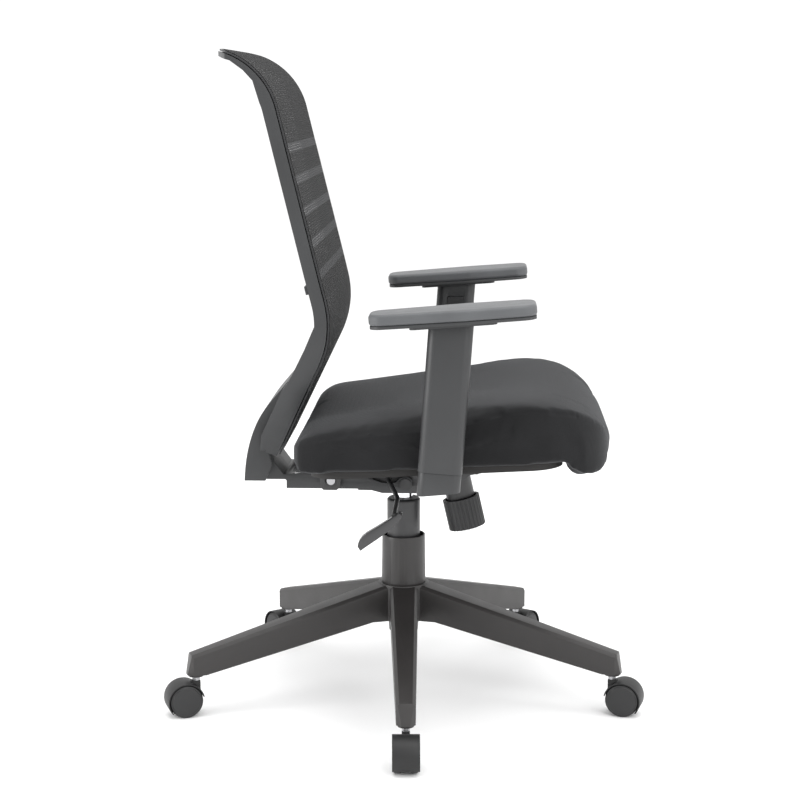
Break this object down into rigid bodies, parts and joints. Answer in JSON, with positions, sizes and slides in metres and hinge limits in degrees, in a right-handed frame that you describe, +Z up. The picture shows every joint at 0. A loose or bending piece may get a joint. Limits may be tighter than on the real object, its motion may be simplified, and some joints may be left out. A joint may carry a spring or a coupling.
{
  "type": "swivel office chair",
  "caption": "Swivel office chair with a mesh back on a reclining frame, a foam seat, height-adjustable arms, a gas lift and a star base on twin-wheel casters.",
  "frame": {"origin": "on the floor, on the axis of the gas lift", "axes": "+Z up; the chair faces -Y; the sitter's right is -X"},
  "size_m": [0.6916, 0.7154, 0.9757],
  "materials": {
    "base_nylon": "satin",
    "painted_steel": "satin",
    "black_plastic": "satin",
    "bright_steel": "satin",
    "chrome": "gloss",
    "gloss_plastic": "gloss",
    "plywood": "matte",
    "seat_fabric": "matte",
    "charcoal_plastic": "satin",
    "strip_plastic": "matte",
    "mesh_fabric": "matte",
    "pad_foam": "satin",
    "caster_nylon": "satin",
    "caster_tread": "satin"
  },
  "bodies": {
    "base": {"base_star": "base_nylon", "column_tube": "painted_steel", "column_guide_bush": "black_plastic", "column_collar": "base_nylon", "thrust_bearing": "bright_steel", "caster_stems": "bright_steel"},
    "swivel": {"piston_rod": "chrome", "retaining_clip": "bright_steel"},
    "lift": {"gas_cylinder": "chrome", "mechanism_chassis": "painted_steel", "taper_socket": "painted_steel", "main_pivot_bolts": "painted_steel", "front_pivot_pin": "bright_steel", "tension_spring": "bright_steel"},
    "release": {"gas_release_pin": "bright_steel"},
    "lock": {"tilt_lock_slider": "black_plastic"},
    "lever": {"lever_rod": "painted_steel", "lever_paddle": "gloss_plastic"},
    "knob": {"tension_knob": "black_plastic", "tension_bolt": "bright_steel"},
    "seat": {"seat_plate": "painted_steel", "seat_board": "plywood", "seat_cushion": "seat_fabric", "seat_bolts": "bright_steel", "arm_bolts": "bright_steel", "arm_bracket_left": "painted_steel", "arm_bracket_right": "painted_steel", "arm_foot_left": "charcoal_plastic", "arm_foot_right": "charcoal_plastic"},
    "arm_left": {"arm_sleeve_left": "charcoal_plastic", "arm_pad_base_left": "charcoal_plastic", "arm_pad_left": "pad_foam"},
    "arm_right": {"arm_sleeve_right": "charcoal_plastic", "arm_pad_base_right": "charcoal_plastic", "arm_pad_right": "pad_foam"},
    "button_left": {"arm_button_left": "black_plastic"},
    "button_right": {"arm_button_right": "black_plastic"},
    "back": {"back_arm": "charcoal_plastic", "back_frame": "charcoal_plastic", "mesh_carrier": "strip_plastic", "back_mesh": "mesh_fabric", "back_cover": "charcoal_plastic", "link_bolt": "bright_steel"},
    "lumbar": {"lumbar_bar": "charcoal_plastic"},
    "caster_1": {"caster_hood_1": "caster_nylon", "caster_axle_1": "bright_steel"},
    "wheels_1": {"caster_wheels_1": "caster_tread"},
    "caster_2": {"caster_hood_2": "caster_nylon", "caster_axle_2": "bright_steel"},
    "wheels_2": {"caster_wheels_2": "caster_tread"},
    "caster_3": {"caster_hood_3": "caster_nylon", "caster_axle_3": "bright_steel"},
    "wheels_3": {"caster_wheels_3": "caster_tread"},
    "caster_4": {"caster_hood_4": "caster_nylon", "caster_axle_4": "bright_steel"},
    "wheels_4": {"caster_wheels_4": "caster_tread"},
    "caster_5": {"caster_hood_5": "caster_nylon", "caster_axle_5": "bright_steel"},
    "wheels_5": {"caster_wheels_5": "caster_tread"}
  },
  "joints": [
    {"name": "seat_swivel", "type": "hinge", "parent": "base", "child": "swivel", "pos_m": [0, 0, 0.1], "axis": [0, 0, 1], "continuous": true},
    {"name": "seat_lift", "type": "slide", "parent": "swivel", "child": "lift", "axis": [0, 0, 1], "range_m": [0, 0.1]},
    {"name": "back_tilt", "type": "hinge", "parent": "lift", "child": "back", "pos_m": [0, -0.005, 0.339], "axis": [-1, 0, 0], "range_deg": [0, 18], "stiffness_Nm_per_rad": 70, "springref_deg": -28.65},
    {"name": "seat_tilt", "type": "hinge", "parent": "lift", "child": "seat", "pos_m": [0, -0.108, 0.366], "axis": [-1, 0, 0], "range_deg": [0, 9.4]},
    {"name": "lock_slide", "type": "slide", "parent": "lift", "child": "lock", "axis": [-1, 0, 0], "range_m": [0, 0.015]},
    {"name": "lever_lift", "type": "hinge", "parent": "lock", "child": "lever", "pos_m": [0, 0.02, 0.347], "axis": [1, 0, 0], "range_deg": [0, 11.4], "stiffness_Nm_per_rad": 1.2, "springref_deg": -8.59},
    {"name": "pin_press", "type": "slide", "parent": "lift", "child": "release", "axis": [0, 0, -1], "range_m": [0, 0.0046]},
    {"name": "tension_turn", "type": "hinge", "parent": "lift", "child": "knob", "pos_m": [0, -0.0865, 0.309], "axis": [0, -0.225, -0.9744], "continuous": true},
    {"name": "lumbar_slide", "type": "slide", "parent": "back", "child": "lumbar", "axis": [0, 0.2387, 0.9711], "range_m": [0, 0.06]},
    {"name": "arm_lift_left", "type": "slide", "parent": "seat", "child": "arm_left", "axis": [0, -0.0715, 0.9974], "range_m": [0, 0.07]},
    {"name": "arm_button_left_press", "type": "slide", "parent": "arm_left", "child": "button_left", "axis": [1, 0, 0], "range_m": [0, 0.003], "stiffness_N_per_m": 400, "springref_m": -0.003},
    {"name": "arm_lift_right", "type": "slide", "parent": "seat", "child": "arm_right", "axis": [0, -0.0715, 0.9974], "range_m": [0, 0.07]},
    {"name": "arm_button_right_press", "type": "slide", "parent": "arm_right", "child": "button_right", "axis": [-1, 0, 0], "range_m": [0, 0.003], "stiffness_N_per_m": 400, "springref_m": -0.003},
    {"name": "caster_swivel_1", "type": "hinge", "parent": "base", "child": "caster_1", "pos_m": [-0.32458, -0.01644, 0.05], "axis": [0, 0, 1], "continuous": true},
    {"name": "caster_roll_1", "type": "hinge", "parent": "caster_1", "child": "wheels_1", "pos_m": [-0.34256, -0.01735, 0.025], "axis": [0.0506, -0.9987, 0], "continuous": true},
    {"name": "caster_swivel_2", "type": "hinge", "parent": "base", "child": "caster_2", "pos_m": [-0.08466, -0.31378, 0.05], "axis": [0, 0, 1], "continuous": true},
    {"name": "caster_roll_2", "type": "hinge", "parent": "caster_2", "child": "wheels_2", "pos_m": [-0.08935, -0.33116, 0.025], "axis": [0.9655, -0.2605, 0], "continuous": true},
    {"name": "caster_swivel_3", "type": "hinge", "parent": "base", "child": "caster_3", "pos_m": [0.27226, -0.17748, 0.05], "axis": [0, 0, 1], "continuous": true},
    {"name": "caster_roll_3", "type": "hinge", "parent": "caster_3", "child": "wheels_3", "pos_m": [0.28734, -0.18731, 0.025], "axis": [0.5461, 0.8377, 0], "continuous": true},
    {"name": "caster_swivel_4", "type": "hinge", "parent": "base", "child": "caster_4", "pos_m": [0.25293, 0.20409, 0.05], "axis": [0, 0, 1], "continuous": true},
    {"name": "caster_roll_4", "type": "hinge", "parent": "caster_4", "child": "wheels_4", "pos_m": [0.26694, 0.21539, 0.025], "axis": [-0.628, 0.7782, 0], "continuous": true},
    {"name": "caster_swivel_5", "type": "hinge", "parent": "base", "child": "caster_5", "pos_m": [-0.11594, 0.30362, 0.05], "axis": [0, 0, 1], "continuous": true},
    {"name": "caster_roll_5", "type": "hinge", "parent": "caster_5", "child": "wheels_5", "pos_m": [-0.12236, 0.32043, 0.025], "axis": [-0.9342, -0.3567, 0], "continuous": true}
  ],
  "couplings": [
    {"joint": "seat_tilt", "follows": "back_tilt", "ratio": 0.5195},
    {"joint": "pin_press", "follows": "lever_lift", "m_per_rad": 0.0225}
  ]
}
